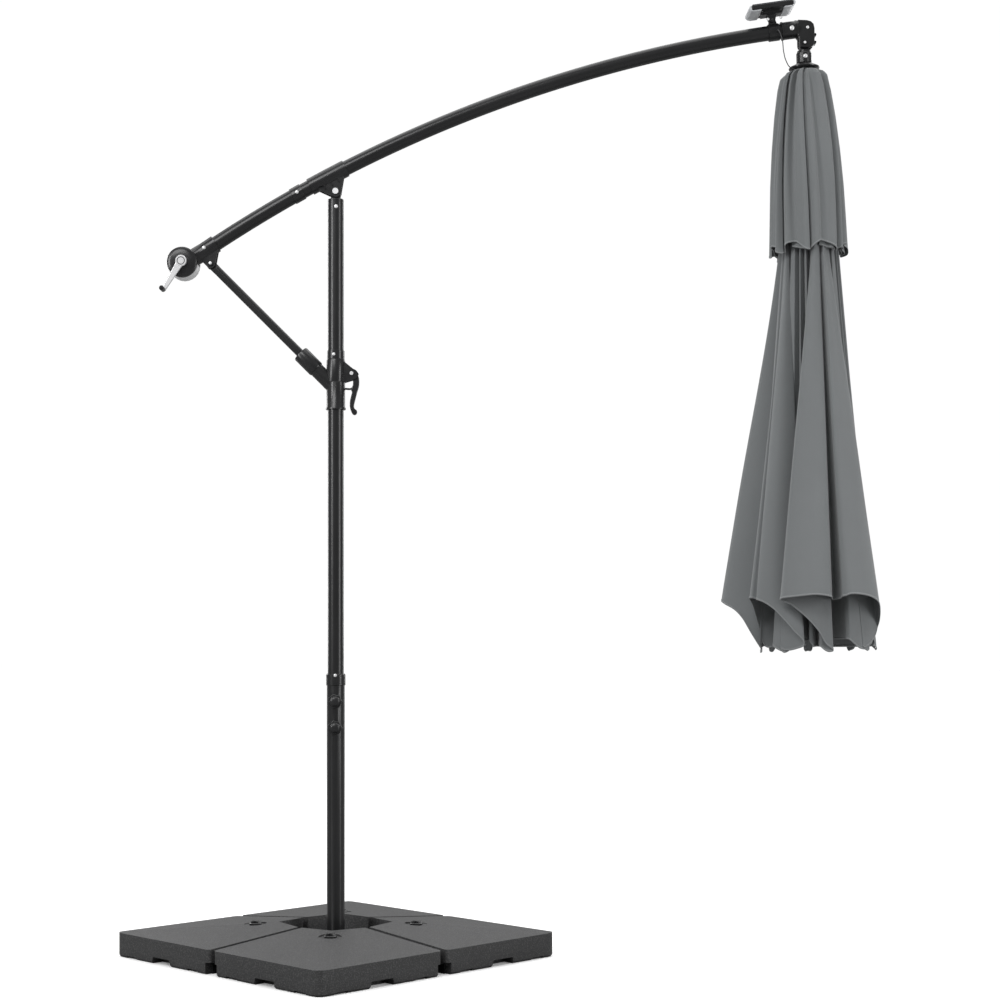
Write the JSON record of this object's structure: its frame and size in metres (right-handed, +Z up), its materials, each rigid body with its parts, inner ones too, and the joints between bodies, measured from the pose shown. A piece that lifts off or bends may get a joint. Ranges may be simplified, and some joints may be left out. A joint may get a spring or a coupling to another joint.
{
  "type": "cantilever parasol",
  "caption": "Folded cantilever parasol: weighted cross base, clamped post, curved arm in a pivoting sleeve, strut on a slider, crank reel and a closed ribbed canopy.",
  "frame": {"origin": "middle of the cross base's underside, on the post's axis, at ground level", "axes": "+Z up along the post, +X along the arm towards the canopy, -Y the side that the clamp knobs and the crank face"},
  "size_m": [2.0233, 1.1398, 2.5058],
  "materials": {
    "frame_paint": "semi-gloss charcoal powder coat",
    "zinc": "bright zinc plate",
    "chrome": "polished chrome",
    "moulding": "satin charcoal nylon moulding",
    "weight_plastic": "grained blow-moulded polyethylene, filled with water or sand",
    "frosted": "frosted clear polycarbonate",
    "cell": "glossy solar cell under glass",
    "canopy_fabric": "matt grey polyester weave with bound hems",
    "wire_skin": "matt dark grey insulation"
  },
  "bodies": {
    "base": {"cross_bar_a": "frame_paint", "cross_bar_b": "frame_paint", "base_weight_1": "weight_plastic", "base_weight_2": "weight_plastic", "base_weight_3": "weight_plastic", "base_weight_4": "weight_plastic", "lower_post": "frame_paint", "post_collar": "moulding"},
    "cap_1": {"fill_cap_1": "moulding"},
    "cap_2": {"fill_cap_2": "moulding"},
    "cap_3": {"fill_cap_3": "moulding"},
    "cap_4": {"fill_cap_4": "moulding"},
    "upper_knob": {"knob_upper": "moulding"},
    "lower_knob": {"knob_lower": "moulding"},
    "mast": {"upper_post": "frame_paint", "slider_stop": "moulding", "post_head": "moulding"},
    "slider": {"slider_body": "moulding", "strut_socket": "moulding", "lever_bolt": "zinc"},
    "lever": {"lever": "moulding"},
    "lock_pin": {"lock_pin": "zinc"},
    "sleeve": {"arm_sleeve": "moulding", "sleeve_bolt": "zinc"},
    "arm": {"arm_tube": "frame_paint", "arm_collar": "moulding", "crank_housing": "moulding", "reel_cover": "moulding", "reel_back": "zinc", "strut_bolt": "zinc", "elbow_upper": "moulding", "elbow_pin": "zinc", "solar_clamp": "moulding", "solar_wire": "wire_skin"},
    "crank": {"crank_handle": "chrome", "spool": "moulding"},
    "grip": {"crank_grip": "moulding"},
    "strut": {"strut_tube": "frame_paint"},
    "canopy": {"elbow_lower": "moulding", "crown_cap": "moulding", "canopy_pole": "zinc", "rib_hub": "moulding", "runner": "moulding", "rib_1": "frame_paint", "rib_2": "frame_paint", "rib_3": "frame_paint", "rib_4": "frame_paint", "rib_5": "frame_paint", "rib_6": "frame_paint", "rib_7": "frame_paint", "rib_8": "frame_paint", "canopy": "canopy_fabric", "canopy_vent": "canopy_fabric"},
    "solar": {"solar_bracket": "moulding", "solar_panel": "frosted", "solar_cell": "cell"}
  },
  "joints": [
    {"name": "mast_swivel", "type": "hinge", "parent": "base", "child": "mast", "pos_m": [0, 0, 0.6], "axis": [0, 0, 1], "continuous": true},
    {"name": "knob_upper_turn", "type": "hinge", "parent": "base", "child": "upper_knob", "pos_m": [0, -0.03, 0.671], "axis": [0, 1, 0], "continuous": true},
    {"name": "knob_lower_turn", "type": "hinge", "parent": "base", "child": "lower_knob", "pos_m": [0, -0.03, 0.602], "axis": [0, 1, 0], "continuous": true},
    {"name": "fill_cap_1_turn", "type": "hinge", "parent": "base", "child": "cap_1", "pos_m": [0.211, 0, 0.082], "axis": [0, 0, 1], "continuous": true},
    {"name": "fill_cap_2_turn", "type": "hinge", "parent": "base", "child": "cap_2", "pos_m": [0, 0.211, 0.082], "axis": [0, 0, 1], "continuous": true},
    {"name": "fill_cap_3_turn", "type": "hinge", "parent": "base", "child": "cap_3", "pos_m": [-0.211, 0, 0.082], "axis": [0, 0, 1], "continuous": true},
    {"name": "fill_cap_4_turn", "type": "hinge", "parent": "base", "child": "cap_4", "pos_m": [0, -0.211, 0.082], "axis": [0, 0, 1], "continuous": true},
    {"name": "sleeve_pivot", "type": "hinge", "parent": "mast", "child": "sleeve", "pos_m": [0, 0, 2.0095], "axis": [0, -1, 0], "range_deg": [0, 17.6]},
    {"name": "slider_travel", "type": "slide", "parent": "mast", "child": "slider", "axis": [0, 0, 1], "range_m": [-0.22, 0]},
    {"name": "arm_glide", "type": "hinge", "parent": "sleeve", "child": "arm", "pos_m": [1.6628, 0, -1.134], "axis": [0, -1, 0], "range_deg": [0, 2.3]},
    {"name": "strut_pivot", "type": "hinge", "parent": "arm", "child": "strut", "pos_m": [-0.328, 0, 1.82], "axis": [0, -1, 0], "range_deg": [-19.9, 0]},
    {"name": "lever_pull", "type": "hinge", "parent": "slider", "child": "lever", "pos_m": [0.042, 0, 1.532], "axis": [0, -1, 0], "range_deg": [0, 8], "stiffness_Nm_per_rad": 2, "springref_deg": -11.46},
    {"name": "lock_pin_slide", "type": "slide", "parent": "slider", "child": "lock_pin", "axis": [1, 0, 0], "range_m": [0, 0.0058]},
    {"name": "crank_turn", "type": "hinge", "parent": "arm", "child": "crank", "pos_m": [-0.401, 0, 1.821], "axis": [0, 1, 0], "continuous": true},
    {"name": "grip_spin", "type": "hinge", "parent": "crank", "child": "grip", "pos_m": [-0.44684, -0.06, 1.74471], "axis": [0, 1, 0], "continuous": true},
    {"name": "canopy_swing", "type": "hinge", "parent": "arm", "child": "canopy", "pos_m": [1.231, 0, 2.398], "axis": [0, -1, 0], "range_deg": [-25, 10], "deforming": ["solar_wire"]},
    {"name": "solar_tilt", "type": "hinge", "parent": "arm", "child": "solar", "pos_m": [1.14732, 0, 2.46226], "axis": [0, -1, 0], "range_deg": [-12, 12]}
  ],
  "couplings": [
    {"joint": "slider_travel", "follows": "sleeve_pivot", "m_per_rad": -0.71429},
    {"joint": "arm_glide", "follows": "sleeve_pivot", "ratio": 0.12857},
    {"joint": "strut_pivot", "follows": "sleeve_pivot", "ratio": -1.1286},
    {"joint": "lock_pin_slide", "follows": "lever_pull", "m_per_rad": 0.04}
  ]
}
